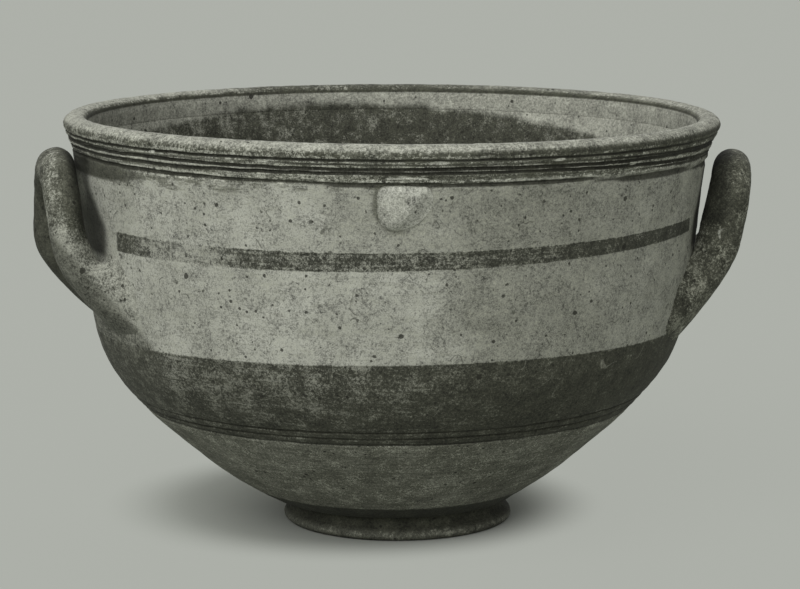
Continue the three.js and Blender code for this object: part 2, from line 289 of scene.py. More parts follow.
    def finish(self, pit, mottle=(2.2, 2.0, 1.8), bump=0.3):
        """Mottling multiplies the colour by 1 plus each strength x (noise - 0.5), for
        grain, flakes and wear. Then dark pits in two sizes, and a relief of grain,
        flakes and pits."""
        uneven = self.total(*zip(mottle, (self.grain, self.flake, self.wear)), (1 - sum(mottle) / 2, 1.0))
        uneven = self.math("MAXIMUM", uneven, self.DARKEST)
        self.colour = self.add("ShaderNodeVectorMath", self.colour, uneven, operation="SCALE")
        pits = self.math("MAXIMUM", self.pits(*self.FINE_PITS), self.pits(*self.COARSE_PITS))
        self.paint(pit, pits, 0.85)
        height = self.total((0.6, self.flake), (0.8, self.grain), (-1.0, pits))
        relief = self.add("ShaderNodeBump", bump, self.RELIEF * MM, None, height)
        shader = self.add("ShaderNodeBsdfPrincipled")
        shader.inputs["Roughness"].default_value = self.ROUGHNESS
        shader.inputs["Specular IOR Level"].default_value = self.SHEEN
        self.tree.links.new(self.colour.outputs[2], shader.inputs["Base Color"])
        self.tree.links.new(relief.outputs[0], shader.inputs["Normal"])
        self.add("ShaderNodeOutputMaterial", shader)
        return self.material


foot_share = np.linspace(0, 1, FOOT_ROWS, endpoint=False)
foot_line = smooth_line(np.vstack([FOOT_SECTION, FOOT_SECTION[:1]]), foot_share)
foot_turn = full_turn(FOOT_COLUMNS)
foot_true = turned(foot_line, foot_turn)
foot_rub = 0.22 * smooth_noise(foot_true, 7.0, 21) + 0.1 * smooth_noise(foot_true, 2.5, 22)
foot_rub = np.minimum(foot_rub, 0.1) * np.clip(foot_line[:, 1:] - 0.2, 0, 1)
foot_grid = around(foot_line[:, :1] + foot_rub, foot_line[:, 1:], foot_turn)
# Where the bead is painted lighter as a painted highlight, and rubbed more
foot_bead = np.exp(-((foot_line[:, 1:] - 2.9) / 1.9) ** 2) * (foot_line[:, :1] > 51)
foot = skin("foot", foot_grid, bead=foot_bead)

# Fired clay under a thin dark wash: matt, almost black in the neck. Along the bead it is painted lighter as a
# painted highlight, and the buff body shows there where the bowl has been rubbed and knocked.
foot_wash = Clay("dark washed clay foot", "#2f3027", "#3b3c32", 12.0)
bead = foot_wash.field("bead")
# Painted highlight: a lighter band along the bead
foot_wash.paint("#6b6c61", bead, 0.45)
rubbed = foot_wash.breaks(0.5, 0.3, 0.2, (0.12, bead))
foot_wash.paint("#85867a", foot_wash.ramp(rubbed, 0.60, 0.70, 0.0, 0.4))
foot.data.materials.append(foot_wash.finish("#1d1d17"))
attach(foot, "root")
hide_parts("foot_ring")

# Lower bowl
# The first thrown length: a round floor that opens into the flaring wall, up to the
# lowest of three tooled lines, where the next length is luted on. Outside it has a
# thin grey-brown wash, inside the dark paint of the whole bowl.
OUTER_STATIONS = np.array([
    (56.0, 12.0), (75.0, 24.0), (91.6, 37.3), (113.5, 57.2), (131.6, 82.0),
    (138.6, 114.5), (141.3, 144.0), (144.8, 171.0), (149.9, 186.0),
])
WALL = 8.0
EDGE_DEPTH = 1.4
TONGUE = 3.0
SLIP_BED = 0.15
JOINT_HEIGHT = 57.2
RIM_SPAN = 10.8
UNDERSIDE = np.array([
    (6.0, 8.0), (16.0, 8.0), (26.0, 8.0), (34.0, 8.0), (39.0, 8.0), (41.0, 8.2), (46.0, 9.5), (51.0, 10.8),
])
FLOOR_LINE = np.array([(40.0, 19.6), (30.0, 18.4), (18.0, 18.05), (6.0, 18.0)])
FLOOR_FROM = 14.0
LOW_ROWS = 18
BODY_COLUMNS = 540
FOOT_PAINT = 18.4
# The edge of the paint inside: its height as a + b x + c x^2
INSIDE_EDGE = (181.8848, -0.0192, -0.0008)
BUFF = "#8f9085"
INSIDE_TONE = "#35362c"
LINE_TONE = "#26261f"

outer_line = smooth_line(OUTER_STATIONS, np.linspace(0, 1, 3001))
outer_length = np.append(0, np.cumsum(np.hypot(*np.diff(outer_line, axis=0).T)))
outer_slope = np.gradient(outer_line, outer_length, axis=0)
outer_slope /= np.hypot(*outer_slope.T)[:, None]
LINE_LENGTH = outer_length[-1]
LOW_JOINT = np.interp(JOINT_HEIGHT, outer_line[:, 1], outer_length)
RIM_JOINT = LINE_LENGTH - RIM_SPAN

# Tooled lines: how far below the lip each is cut in front, at the left and at the right,
# how deep there, and half its width, in mm. The lines part and fade round the bowl.
RIM_LINES = [
    ((2.1, 1.9, 1.9), (0.65, 0.80, 0.35), 0.65),
    ((4.2, 4.2, 5.7), (0.25, 0.45, 0.85), 0.55),
    ((6.1, 5.6, 7.3), (0.85, 0.80, 1.00), 0.85),
    ((8.1, 8.4, 11.6), (0.75, 0.85, 0.90), 0.80),
    ((10.2, 9.9, 13.0), (0.12, 0.30, 0.90), 0.60),
    ((13.2, 11.4, 17.1), (0.90, 0.85, 0.90), 0.80),
    ((15.2, 14.2, 18.3), (0.06, 0.60, 0.85), 0.60),
]
LOW_LINES = 3
LOW_PITCH = 4.3
LOW_LINE_DEPTH = 0.62
LOW_LINE_HALF = 0.75
LOW_TILT = 0.0084
GROOVE_WANDER = 0.16
GROOVE_WOBBLE = 0.22
RIDGE_HALF = 1.5
# Turning rings: depth in mm, what a mm round the bowl counts against one in height,
# size in mm, seed
TURNING_RINGS = [(0.10, 0.03, 3.4, 5), (0.14, 0.12, 9.0, 6)]
# The face lies this deep under the solid's, so that its rings stay inside
FACE_DEPTH = 0.15
FINGER_DEPTH = 0.2
FINGER_PITCH = 7.0


def on_wall(length, depth=0.0):
    """Radius and height at a length along the outer line, and so deep in the clay:
    the point plus depth times the normal that points in."""
    r, z = (np.interp(length, outer_length, side) for side in outer_line.T)
    dr, dz = (np.interp(length, outer_length, side) for side in outer_slope.T)
    return r - depth * dz, z + depth * dr


def wall_radius(z):
    """Outer radius of the wall at a height."""
    return np.interp(z, outer_line[:, 1], outer_line[:, 0])


def round_bowl(values, angle):
    """A value given in front, at the left and at the right, carried round the bowl by
    the weights sin^2, cos^2 on the left and cos^2 on the right."""
    middle, left, right = values
    beside = np.cos(angle) ** 2
    return middle * (1 - beside) + np.where(np.cos(angle) < 0, left, right) * beside


def tooling(length, angle):
    """Depth of the tooled lines: the greatest of depth x exp(-(distance / half)^4),
    each line wandering a little and coming and going by a quarter round the bowl."""
    lines = [(LINE_LENGTH - round_bowl(below, angle), round_bowl(depth, angle), half)
             for below, depth, half in RIM_LINES]
    tilt = LOW_TILT * np.cos(angle) * wall_radius(JOINT_HEIGHT)
    lines += [(LOW_JOINT + k * LOW_PITCH + tilt * (k > 0), LOW_LINE_DEPTH, LOW_LINE_HALF)
              for k in range(LOW_LINES)]
    cut = np.zeros(np.broadcast(length, angle).shape)
    for k, (place, depth, half) in enumerate(lines):
        wander = GROOVE_WANDER * (np.sin(3 * angle + 1.7 * k) + 0.6 * np.sin(7 * angle + 2.9 * k))
        wander = wander + GROOVE_WOBBLE * smooth_noise(around(150.0, 8.0 * k, angle), 8.0, 50)
        uneven = 1 + 0.22 * np.sin(5 * angle + 4.1 * k) + 0.14 * np.sin(13 * angle + k)
        cut = np.maximum(cut, depth * uneven * np.exp(-((length - place - wander) / half) ** 4))
    return cut


def thrown_face(lengths, columns, chips=()):
    """The outer face, as points, depth of tooling, ridges and chips: the outer line
    turned round, less the tooled lines, with turning rings and crumbs of noise. A
    ridge is where the clay to either side is cut deeper than it is."""
    angle = full_turn(columns)
    length = np.asarray(lengths)[:, None]
    cut = tooling(length, angle)
    beside = tooling(length - RIDGE_HALF, angle) + tooling(length + RIDGE_HALF, angle)
    ridge = np.maximum(beside / 2 - cut, 0)
    flat = around(*on_wall(length), angle)
    rings = sum(depth * smooth_noise(flat * [squeeze, squeeze, 1], size, seed)
                for depth, squeeze, size, seed in TURNING_RINGS)
    crumbs = 0.12 * smooth_noise(flat, 3.1, 8) + 0.8 * ridge * np.maximum(smooth_noise(flat, 2.6, 9) + 0.1, 0)
    chipped = np.zeros(cut.shape)
    for bearing, below, half_turn, half, depth in chips:
        aside = (np.degrees(angle) - bearing + 180) % 360 - 180
        away = np.hypot(aside / half_turn, (length - LINE_LENGTH + below) / half)
        away = away + 0.35 * smooth_noise(flat, 2.0, 31)
        chipped = np.maximum(chipped, depth * np.clip(1.5 - 1.5 * away, 0, 1))
    depth = cut + crumbs - rings + chipped + FACE_DEPTH
    return around(*on_wall(length, depth), angle), cut, ridge, chipped


def spaced(start, end, fine, coarse, places, reach):
    """Lengths from start to end: a fine step apart within reach of the places and a
    coarse one elsewhere, found where the running total of 1 / step is a whole number."""
    at = np.linspace(start, end, 4001)
    near = np.min(np.abs(at[:, None] - np.asarray(places)), axis=1) < reach
    count = np.append(0, np.cumsum(np.diff(at) / np.where(near, fine, coarse)[1:]))
    return np.interp(np.linspace(0, count[-1], round(count[-1]) + 1), count, at)


def luted_edge(length, raised=0.0):
    """Section across the wall at a joint, from just under the outer face to the inner
    one, by way of a tongue that points down the wall; raised is a bed of slip."""
    outer, inner = (np.array(on_wall(length, depth)) for depth in (EDGE_DEPTH, WALL))
    slope = np.array([np.interp(length, outer_length, side) for side in outer_slope.T])
    middle = (outer + inner) / 2 + slope * (raised - TONGUE)
    return np.array([outer, (outer + middle) / 2, middle, (middle + inner) / 2])


def finger_rings(lengths, angle):
    """The inner face: the outer line WALL deep, with soft rings where the fingers drew
    the clay up, depth x sin(length / pitch turns) x sin(length / 31 mm)."""
    length = np.asarray(lengths)[:, None]
    wave = FINGER_DEPTH * np.sin(length / FINGER_PITCH * 2 * math.pi + angle) * np.sin(length / 31)
    return around(*on_wall(length, WALL + wave), angle)


body_turn = full_turn(BODY_COLUMNS)
low_outer, low_cut, _, _ = thrown_face(
    spaced(0, LOW_JOINT, fine=0.3, coarse=1.6, places=[LOW_JOINT], reach=2), BODY_COLUMNS)
low_under, low_joint, low_floor = (
    turned(section, body_turn) for section in (UNDERSIDE, luted_edge(LOW_JOINT), FLOOR_LINE))
low_inner = finger_rings(np.linspace(LOW_JOINT, FLOOR_FROM, LOW_ROWS), body_turn)
low_parts = [low_under, low_outer, low_joint, low_inner, low_floor]
low_grid = np.concatenate(low_parts)
counts = [len(part) for part in low_parts]


def fields(before, after, *values):
    """Each field of the outer face with rows of nought before and after it."""
    return [np.pad(value, ((before, after), (0, 0))) for value in values]


(low_cut,) = fields(counts[0], sum(counts[2:]), low_cut)
low_inside = np.repeat([0.0, 1.0], [sum(counts[:2]), sum(counts[2:])])[:, None]
low_poles = [(0, 0, UNDERSIDE[0, 1]), (0, 0, FLOOR_LINE[-1, 1])]
lower_bowl = skin("lower_body", low_grid, low_poles, tooled=low_cut, inside=low_inside)


def inside_paint(clay):
    """The inside of the bowl: dark paint brushed round, up to a height that sinks
    towards both sides as a + b x + c x^2, and flaked to the buff body in specks, most
    of all high up at the right and a little at the left."""
    upper_right = clay.product(clay.ramp(clay.x, 72, 108, 0.0, 0.055), clay.ramp(clay.z, 135, 155))
    flaking = clay.total((0.35, clay.wear), (0.35, clay.noise(3.2, 4.0, 0.65)), (0.3, clay.grain),
                         (1.0, upper_right), (1.0, clay.ramp(clay.x, 30, -75, 0.0, 0.035)))
    edge = clay.wavering(clay.curve(*INSIDE_EDGE), -5.0, 9.0, 4.0)
    painted = clay.ramp(clay.math("SUBTRACT", edge, clay.z), -1.5, 3.0)
    return clay.product(painted, clay.ramp(flaking, 0.51, 0.65, 0.95, 0.45))


# Buff clay under a thin wash: mid grey-brown, streaked the way it turned, matt, with
# pale specks of the body and dark pits. The paint starts again just above the foot,
# and dirt stays dark in the tooled line.
wash = Clay("thin washed clay", "#606156", "#717267")
streaks = wash.noise(1.1, 3.0, 0.6, (22, 22, 1))
wash.paint("#4a4b41", wash.ramp(streaks, 0.46, 0.62, 0.0, 0.5))
wash.paint("#94958a", wash.ramp(wash.breaks(0.35, 0.3, 0.35), 0.53, 0.59, 0.0, 0.6))
low_edge = wash.math("SUBTRACT", wash.wavering(FOOT_PAINT, 2.4, 6.0, 4.0, 0.7), wash.z)
wash.paint("#2c2d25", wash.ramp(low_edge, -0.5, 0.6, 0.0, 0.92))
wash.paint(LINE_TONE, wash.ramp(wash.field("tooled"), 0.2, 0.55, 0.0, 0.85))
low_within = wash.field("inside")
wash.paint(BUFF, low_within)
wash.paint(INSIDE_TONE, low_within, inside_paint(wash))
lower_bowl.data.materials.append(wash.finish("#1f1f19", (3.0, 1.6, 1.2)))
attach(lower_bowl, "root")
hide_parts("lower_bowl")

# Upper wall
# The second thrown length, luted on at the tooled lines: pale slip all over, then a
# broad dark band over the swell and a narrow one at mid height, brushed on as it
# turned. Inside it carries the same dark paint as the floor.
WALL_ROWS = 30
LUG_BEARING = math.radians(-94.4)
LUG_HEIGHT_AT = 164.2
LUG_HALF = 11.8
LUG_UP = 9.2
LUG_DOWN = 10.6
# Heights of the bands' edges, as a + b x + c x^2, and how far out the narrow one runs
NARROW_LOW = (137.14, 0.01966, 9.63e-5)
NARROW_HIGH = (144.70, 0.00895, 8.2e-5)
NARROW_END = 127.0
BROAD_HIGH = (96.49, 0.00616, -9.58e-5)
BELOW_WALL = -10.0
ABOVE_WALL = 190.0
SMUDGE_TONE = "#42433a"


def lug_reach(angle):
    """How far the lug's outline is from its middle in a direction: the superellipse
    (|cos / half|^n + |sin / up or down|^n)^(-1/n), n from 1.9 below to 5.9 on top."""
    c, s = np.cos(angle), np.sin(angle)
    power = 1.9 + 4.0 * np.clip(s + 0.3, 0, 1)
    tall = np.where(s > 0, LUG_UP, LUG_DOWN)
    return (np.abs(c / LUG_HALF) ** power + np.abs(s / tall) ** power) ** (-1 / power)


low_lines = [LOW_JOINT + k * LOW_PITCH for k in range(LOW_LINES)]
wall_outer, wall_cut, wall_ridge, _ = thrown_face(
    spaced(LOW_JOINT, RIM_JOINT, fine=0.34, coarse=1.55, places=low_lines + [RIM_JOINT], reach=1.8),
    BODY_COLUMNS)
wall_edge_up = turned(luted_edge(RIM_JOINT), body_turn)
wall_edge_down = turned(luted_edge(LOW_JOINT, SLIP_BED)[::-1], body_turn)
wall_inner = finger_rings(np.linspace(RIM_JOINT, LOW_JOINT, WALL_ROWS), body_turn)
wall_grid = np.concatenate([wall_outer, wall_edge_up, wall_inner, wall_edge_down])
lug_aside = wall_radius(wall_grid[..., 2]) * (
    (np.arctan2(wall_grid[..., 1], wall_grid[..., 0]) - LUG_BEARING + math.pi) % (2 * math.pi) - math.pi)
lug_above = wall_grid[..., 2] - LUG_HEIGHT_AT
lug_gap = np.hypot(lug_aside, lug_above) - lug_reach(np.arctan2(lug_above, lug_aside))
# Painted shade: the wall is darker just outside the lug's left edge
lug_shade = np.exp(-(np.maximum(lug_gap, 0) / 1.6) ** 2) * np.clip(0.45 - lug_aside / 10, 0, 1)
wall_after = len(wall_grid) - len(wall_outer)
wall_cut, wall_ridge = fields(0, wall_after, wall_cut, wall_ridge)
wall_inside = np.repeat([0.0, 1.0], [len(wall_outer), wall_after])[:, None]
upper_wall = skin("wall", wall_grid, tooled=wall_cut, ridge=wall_ridge, inside=wall_inside,
                  dirt=lug_shade * (1 - wall_inside))

# Pale slip: a chalky matt coat with a fine dark speckle, duller to the right in front.
# The bands are a thin dark slip that lets it through in specks and brush marks.
slip = Clay("pale slip with brushed dark bands", "#94958b", "#a0a197")
dull_from = slip.math("ADD", slip.x, slip.ramp(slip.z, 125, 150, 0.0, 8.0))
dull_from = slip.wavering(dull_from, 60.0, 20.0, 4.0, 0.6)
dull = slip.product(slip.ramp(dull_from, -6, 18, 0.0, 0.62), slip.ramp(slip.x, 45, 105, 1.0, 0.60))
beside_lug = slip.product(slip.ramp(slip.x, -50, -28, 0.0, 0.32), slip.ramp(slip.z, 134, 148))
slip.paint("#6a6b60", slip.math("MAXIMUM", dull, beside_lug))
slip.paint("#717266", slip.ramp(slip.breaks(0.35, 0.45, 0.2), 0.51, 0.60, 0.0, 0.5))
slip.paint("#78796d", slip.ramp(slip.noise(1.6, 3.0, 0.6, (7, 7, 1)), 0.52, 0.62, 0.0, 0.3))
slip.paint("#33342b", slip.scratches(9.0, 0.6, 0.0), 0.6)
slip.paint("#2b2c24", slip.pits(7.0, 2.1, 0.4), 0.7)
height = slip.total((1.0, slip.z), (0.8, slip.flake), (-0.4, 1.0))
height = slip.wavering(height, 1.3, 5.0, 4.0, 0.7)
through = slip.breaks(0.30, 0.25, 0.25, (0.20, slip.noise(1.0, 4.0, 0.6, (18, 18, 1))))


def between(low, high, soft):
    """1 between two heights on the wall, with ragged edges that fade over twice soft mm."""
    above = slip.ramp(slip.math("SUBTRACT", height, low), -soft, soft)
    return slip.product(above, slip.ramp(slip.math("SUBTRACT", high, height), -soft, soft))


def smudge(clay):
    """The dark smear under the left handle: 1 below a line that falls 1.1 mm per mm
    from the root's lower edge towards the front, fading at its right end and towards
    the back."""
    line = clay.total((-1.1, clay.x), (-1.0, clay.z), (5.0, clay.flake), (6.0, clay.wear), (-34.5, 1.0))
    return clay.product(clay.ramp(line, -2.5, 2.5), clay.ramp(clay.x, -106, -111), clay.ramp(clay.y, 12, -14))


# The narrow band: dark at its ends, worn through in a stretch near the left one
from_middle = slip.math("ABSOLUTE", slip.math("ADD", slip.x, 0.9))
ends = slip.ramp(from_middle, NARROW_END - 0.4, NARROW_END + 0.6, 1.0, 0.0)
uneven_x = slip.wavering(slip.x, 50.0, 6.0, 4.0, 0.7)
worn_part = slip.product(slip.ramp(uneven_x, -128, -104), slip.ramp(uneven_x, -98, -76, 1.0, 0.0))
narrow_wear = slip.total((1.0, through), (0.05, worn_part),
                         (1.0, slip.ramp(slip.x, 20, 110, 0.0, -0.05)),
                         (1.0, slip.ramp(uneven_x, -106, -128, 0.0, -0.03)))
slip.paint("#383930", between(slip.curve(*NARROW_LOW), slip.curve(*NARROW_HIGH), 0.25), ends,
           slip.ramp(narrow_wear, 0.47, 0.60, 0.97, 0.28), slip.math("MULTIPLY_ADD", worn_part, -0.35, 1.0))

# The broad band, worn most in its upper left, and the smear over it
to_upper_left = slip.total((1.0, slip.z), (-0.25, slip.x))
broad_wear = slip.total((1.0, through), (1.0, slip.ramp(to_upper_left, 70, 118, -0.02, 0.03)),
                        (1.0, slip.ramp(slip.x, 0, 100, 0.0, -0.03)))
broad = slip.product(between(BELOW_WALL, slip.curve(*BROAD_HIGH), 0.4),
                     slip.ramp(broad_wear, 0.49, 0.60, 0.97, 0.55))
slip.paint("#393a30", broad)
slip.paint("#8b8c80", broad, 0.45, slip.scratches(18.0, 0.5, 0.04))
slip.paint(SMUDGE_TONE, smudge(slip), slip.ramp(through, 0.48, 0.57, 0.85, 0.45))

# Under the rim the dark slip runs on to the lowest line, and past it at the left
collar_foot = slip.math("ADD", slip.ramp(slip.x, -134, -104, 167.5, 172.6), slip.ramp(slip.x, -100, -40))
collar = between(collar_foot, ABOVE_WALL, 0.9)
slip.paint("#55564b", collar, 0.8)
crest = slip.math("MULTIPLY_ADD", slip.field("ridge"), 0.18, through)
slip.paint("#a9aa9f", collar, slip.ramp(crest, 0.53, 0.59, 0.0, 0.95), slip.ramp(slip.x, -132, -100, 0.15, 1.0))
slip.paint("#2f3027", collar, slip.ramp(slip.x, -114, -130, 0.0, 0.7))
stains = slip.ramp(slip.noise(2.6, 5.0, 0.75, (4, 4, 1)), 0.47, 0.58, 0.0, 0.7)
slip.paint("#4d4e43", between(slip.ramp(slip.x, -125, -40, 166.0, 171.0), 180.0, 1.0), stains)

# Painted shade: between each handle's legs the wall is painted dark, less so behind the top of the loop
out_from = slip.total((1.0, slip.math("ABSOLUTE", slip.x)), (1.0, slip.ramp(slip.z, 141, 166, 0.0, -7.5)),
                      (1.0, slip.ramp(slip.x, 0, 100, 0.0, 3.5)), (2.0, slip.flake), (-1.0, 1.0))
behind_top = slip.product(slip.ramp(slip.z, 148, 164), slip.ramp(slip.y, -38, -22))
# Painted shade behind the handle loop
slip.paint("#26271f", slip.ramp(out_from, 130.8, 133.8, 0.0, 0.9), slip.ramp(slip.z, 130, 134),
           slip.ramp(slip.y, 0, 12, 1.0, 0.0), slip.math("MULTIPLY_ADD", behind_top, -0.8, 1.0))

# Dark in the tooled lines, painted shade in the crevice beside the lug, and the paint inside
slip.paint("#2a2a22", slip.ramp(slip.field("tooled"), 0.18, 0.5, 0.0, 0.85))
# Painted shade in the crevice at the lug's left edge
slip.paint("#4a4b40", slip.ramp(slip.field("dirt"), 0.1, 0.8, 0.0, 0.7))
within = slip.field("inside")
slip.paint(BUFF, within)
slip.paint(INSIDE_TONE, within, inside_paint(slip))
upper_wall.data.materials.append(slip.finish("#24241d"))
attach(upper_wall, "root")
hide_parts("upper_wall")

# Rim
# The third thrown length: a rounded lip over a band of tooled lines, painted dark. The
# ridges between the lines and the lip's edge are rubbed back to the pale slip, in
# dashes, and have small chips.
LIP_HALF = 5.5
LIP_RISE = 5.0
LIP_BASE = 186.0
LIP_GIRTH = 17.0
LIP_SEAM = 0.15
RIM_ROWS = LIP_ROWS = 40
INNER_ROWS = 9
RIM_COLUMNS = 720
# The heights between which the narrow dark edge inside the lip begins
DARK_EDGE = (186.2, 187.2)
# Chips: bearing in degrees, mm below the lip's edge, half width in degrees, half height
# and depth in mm
CHIPS = [
    (-76.0, -1.6, 1.3, 1.6, 0.7), (-89.4, 3.2, 2.0, 1.0, 0.5), (-94.6, 10.5, 3.7, 1.3, 0.55),
    (-69.0, 3.3, 1.5, 0.9, 0.4), (-118.0, 3.4, 1.2, 0.9, 0.4), (-52.0, 9.0, 1.0, 0.6, 0.4),
    (-140.0, 3.0, 1.0, 0.8, 0.4), (-34.0, 3.4, 0.9, 0.6, 0.35), (62.0, -1.0, 1.5, 1.4, 0.6),
    (131.0, 3.0, 2.0, 1.0, 0.5),
]

rim_outer, rim_cut, rim_ridge, rim_chip = thrown_face(
    np.linspace(RIM_JOINT, LINE_LENGTH - LIP_SEAM, RIM_ROWS), RIM_COLUMNS, CHIPS)
rim_turn = full_turn(RIM_COLUMNS)
lip_angle = np.linspace(0.04, 1, LIP_ROWS)[:, None] * math.pi
lip_radius = OUTER_STATIONS[-1, 0] - 0.1 - LIP_HALF + LIP_HALF * np.cos(lip_angle)
lip_height = LIP_BASE + LIP_RISE * np.sin(lip_angle) ** 0.9
lip_true = around(lip_radius, lip_height, rim_turn)
lip_knocks = 0.16 * np.minimum(smooth_noise(lip_true, 5.0, 41), 0.2) + 0.07 * smooth_noise(lip_true, 1.8, 42)
for bearing, below, half_turn, half, depth in CHIPS:
    if below < 0:
        aside = (np.degrees(rim_turn) - bearing + 180) % 360 - 180
        along = (lip_angle / math.pi * LIP_GIRTH + below * 2) / 3
        away = np.hypot(aside / half_turn, along) + 0.35 * smooth_noise(lip_true, 2.0, 32)
        lip_knocks = lip_knocks - depth * np.clip(1.5 - 1.5 * away, 0, 1)
lip_grid = around(lip_radius + lip_knocks * np.cos(lip_angle),
                  lip_height + lip_knocks * np.sin(lip_angle), rim_turn)

# Inside, the lip eases into the wall; below, its edge sits on the wall's
rim_foot = np.array(on_wall(RIM_JOINT, WALL))
rim_down = np.linspace(0.1, 1.0, INNER_ROWS)[:, None]
rim_ease = 1 - (1 - rim_down) ** 3
rim_inner_grid = around((lip_radius[-1] - 0.2) * (1 - rim_ease) + rim_foot[0] * rim_ease,
                        LIP_BASE * (1 - rim_down) + rim_foot[1] * rim_down, rim_turn)
rim_edge = turned(luted_edge(RIM_JOINT, SLIP_BED)[::-1], rim_turn)
rim_grid = np.concatenate([rim_outer, lip_grid, rim_inner_grid, rim_edge])
rim_after = len(rim_grid) - len(rim_outer)
rim_cut, rim_ridge, rim_chip = fields(0, rim_after, rim_cut, rim_ridge, rim_chip)
rim_over = np.concatenate([0 * rim_outer[:, :1, 0], lip_angle / math.pi, np.ones((rim_after - LIP_ROWS, 1))])
rim = skin("grooved_rim", rim_grid, tooled=rim_cut, ridge=rim_ridge, chip=rim_chip, over=rim_over)

# Dark slip on pale slip, matt: it fills the lines, is worn through on the ridges and
# the top of the lip, and runs over it as a narrow dark edge inside. It is kept best low
# on the lip at the right, and on the lip at the back.
rim_clay = Clay("dark slip worn on a tooled rim", "#46473c", "#5a5b50", 14.0)
rubbing = rim_clay.total((0.45, rim_clay.noise(2.8, 5.0, 0.72, (3, 3, 1))), (0.30, rim_clay.flake),
                         (0.25, rim_clay.grain), (1.0, rim_clay.ramp(rim_clay.x, -60, 95, 0.03, -0.035)))
raised = rim_clay.math("MULTIPLY_ADD", rim_clay.field("ridge"), 0.17, rubbing)
rim_clay.paint("#9a9b90", rim_clay.ramp(raised, 0.52, 0.65, 0.0, 0.95))
cut_in = rim_clay.total((1.0, rim_clay.field("tooled")), (0.8, rim_clay.flake), (-0.40, 1.0))
rim_clay.paint(LINE_TONE, rim_clay.ramp(cut_in, 0.14, 0.45, 0.0, 0.92))
over = rim_clay.field("over")
lip_from = rim_clay.total((1.0, over), (0.25, rim_clay.flake), (-0.125, 1.0))
rim_clay.paint("#96978c", rim_clay.ramp(lip_from, 0.02, 0.22), rim_clay.ramp(over, 0.70, 0.80, 1.0, 0.0),
               rim_clay.ramp(rubbing, 0.42, 0.54, 0.55, 0.92))
uneven_x = rim_clay.wavering(rim_clay.x, 60.0, 8.0, 3.0, 0.7)
rim_clay.paint("#3c3d33", rim_clay.ramp(over, 0.0, 0.02), rim_clay.ramp(over, 0.06, 0.20, 1.0, 0.0),
               rim_clay.ramp(uneven_x, -20, 40, 0.5, 0.97), rim_clay.ramp(rubbing, 0.50, 0.60, 1.0, 0.4))
rim_clay.paint("#3f4036", rim_clay.ramp(uneven_x, -85, -45), rim_clay.ramp(uneven_x, 30, 75, 1.0, 0.35),
               rim_clay.ramp(rim_clay.y, 60, 110), rim_clay.ramp(rubbing, 0.50, 0.60, 0.92, 0.35))
within_rim = rim_clay.ramp(over, 0.80, 0.86)
rim_clay.paint(BUFF, within_rim, rim_clay.ramp(rim_clay.z, *DARK_EDGE, 1.0, 0.0))
rim_clay.paint("#3a3b31", within_rim, rim_clay.ramp(rim_clay.z, *DARK_EDGE))
rim_clay.paint(INSIDE_TONE, within_rim, inside_paint(rim_clay))
rim_clay.paint("#b3b4a9", rim_clay.ramp(rim_clay.field("chip"), 0.08, 0.3, 0.0, 0.9))
rim.data.materials.append(rim_clay.finish("#1f1f19", bump=0.15))
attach(rim, "root")
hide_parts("rim")

# Handles
# Two rolled coils of clay, bent up and in against the wall, their ends pressed on and
# smeared out with a wet thumb. Coil and smeared roots are one run of clay, so each
# handle is a single skin: wall, root, coil, root, wall.
COIL_ROWS = 150
ROOT_ROWS = 22
HANDLE_COLUMNS = 88
ROOT_SINK = 1.2
ROOT_DEPTH = 5.0
ROOT_LEAVE = 0.45
ROOT_STANDS = 9.0
COLLAR = 30.0
COIL_BURIED = 11.0
COIL_BUMP = 0.4
# Depth and size of the dents in mm, on the whole handle and more of them on its roots
COIL_DENTS = [(0.35, 14.0), (0.16, 5.0), (0.10, 2.0)]
ROOT_DENTS = (0.25, 4.0)
# Each handle's own frame has x out of the wall and y to the back, and is turned this
# far to the front. A station of a centre line: stand-off from the wall, y and z, and
# half the coil's width out from the wall and along it, in mm.
HANDLE_FORWARD = math.radians(8.5)
LEFT_LINE = [
    (-6.0, -28, 98, 9.3, 9.3), (0.5, -28, 107, 9.3, 9.3), (8.0, -27.5, 120.5, 9.0, 9.0),
    (12.6, -27, 131, 8.3, 8.8), (14.9, -26.5, 141, 8.1, 8.8), (15.2, -26, 150, 7.8, 8.8),
    (14.8, -24.5, 158, 7.8, 8.8), (12.8, -17.5, 166, 8.0, 8.8), (10.4, -5, 169.0, 8.2, 8.8),
    (9.8, 7, 168.4, 8.2, 8.8), (10.2, 17, 165, 8.2, 8.8), (11.6, 25.5, 158, 8.2, 8.8),
    (13.2, 29.5, 149, 8.2, 8.8), (14.9, 30, 136, 8.2, 8.8), (12.6, 29.5, 127, 8.2, 9.0),
    (7.0, 29, 118.5, 8.2, 9.0), (0.5, 28, 107, 9.3, 9.3), (-6.0, 28, 98, 9.3, 9.3),
]
RIGHT_LINE = [
    (-6.0, -28, 98, 9.5, 9.5), (0.5, -28, 107, 9.5, 9.5), (6.5, -27.5, 118, 9.7, 9.2),
    (10.2, -27, 130, 9.9, 9.2), (11.8, -26.5, 141, 9.9, 9.2), (12.8, -26.3, 150, 9.5, 9.0),
    (13.0, -24.5, 157, 9.2, 9.0), (12.6, -18, 163.0, 8.8, 8.8), (12.5, -6, 164.8, 8.4, 8.8),
    (13.2, 6, 163.9, 8.0, 8.8), (14.6, 17, 160.5, 7.7, 8.8), (16.4, 25, 154.5, 7.5, 8.8),
    (18.2, 28.5, 143, 7.5, 8.8), (17.0, 29, 131, 8.2, 9.0), (9.5, 28.5, 118, 9.0, 9.2),
    (0.5, 28, 107, 9.5, 9.5), (-6.0, 28, 98, 9.5, 9.5),
]
# A root's outline on the wall: y and z of its middle, then its reach up, down, away
# from the other root and towards it
LEFT_ROOTS = [(-29, 106, 35, 9, 29, 16), (28, 106, 27, 8, 20, 13)]
RIGHT_ROOTS = [(-29, 104, 28, 16, 29, 14), (28, 106, 27, 12, 20, 13)]


